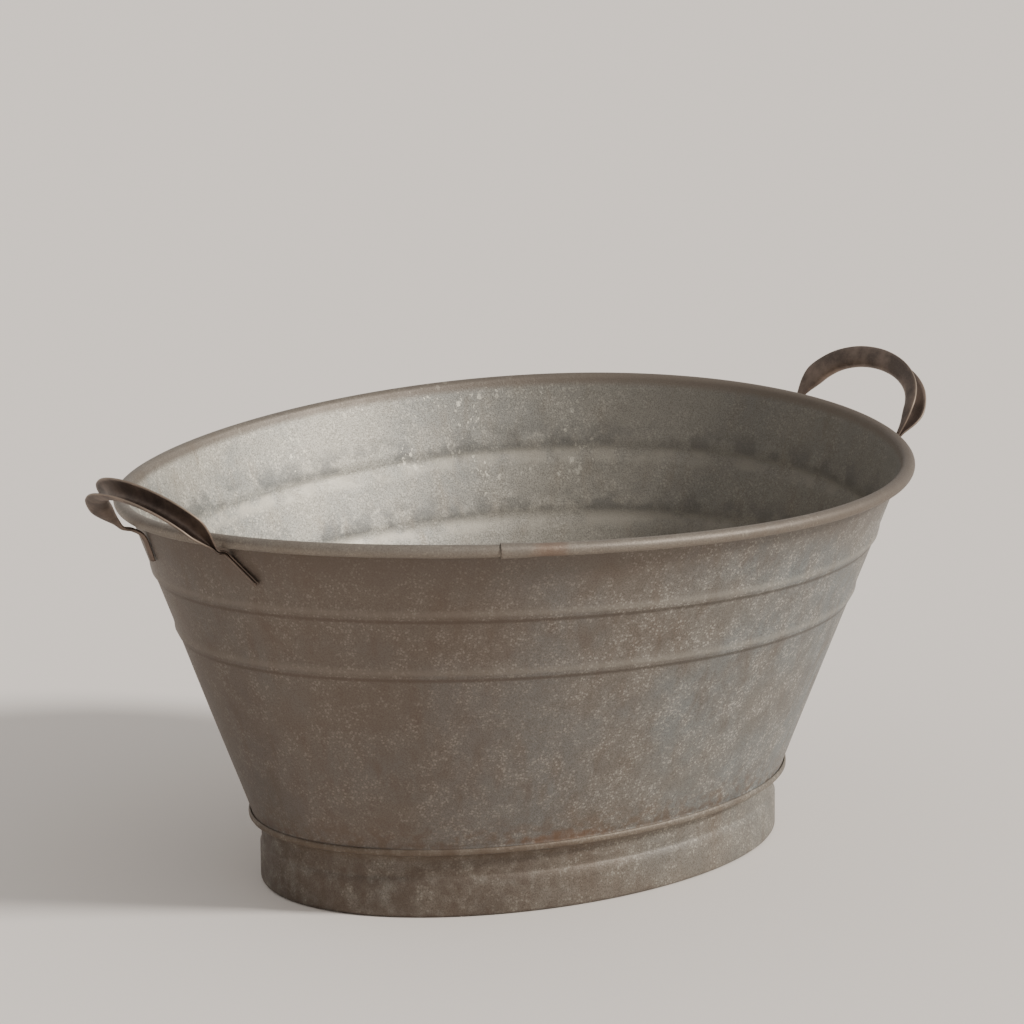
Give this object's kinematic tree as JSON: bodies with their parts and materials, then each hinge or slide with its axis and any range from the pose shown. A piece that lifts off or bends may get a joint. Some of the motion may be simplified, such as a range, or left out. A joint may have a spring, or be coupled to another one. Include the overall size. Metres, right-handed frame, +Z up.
{
  "type": "oval galvanised wash tub",
  "caption": "Oval flared wash tub of galvanised sheet steel, with swaged ribs, a wired rim, a foot ring and two fixed gutter-shaped handles.",
  "frame": {"origin": "on the surface that the tub stands on, under the middle of the oval", "axes": "+Z up; X along the oval's long axis, through the two handles, with right_handle at +X; Y along the short axis"},
  "size_m": [0.7569, 0.552, 0.3534],
  "materials": {
    "galvanised_wall": "weathered zinc, mottled, dull",
    "galvanised_bottom": "weathered zinc with lime spots",
    "galvanised_foot": "weathered zinc, browned by rust",
    "rim_wire": "dull steel wire",
    "handle_strip": "dark brown oxidised steel with worn bright edges"
  },
  "bodies": {
    "root": {"near_side_sheet": "galvanised_wall", "far_side_sheet": "galvanised_wall", "rim_wire": "rim_wire", "bottom_pan": "galvanised_bottom", "foot_ring": "galvanised_foot", "left_handle": "handle_strip", "right_handle": "handle_strip"}
  },
  "joints": []
}
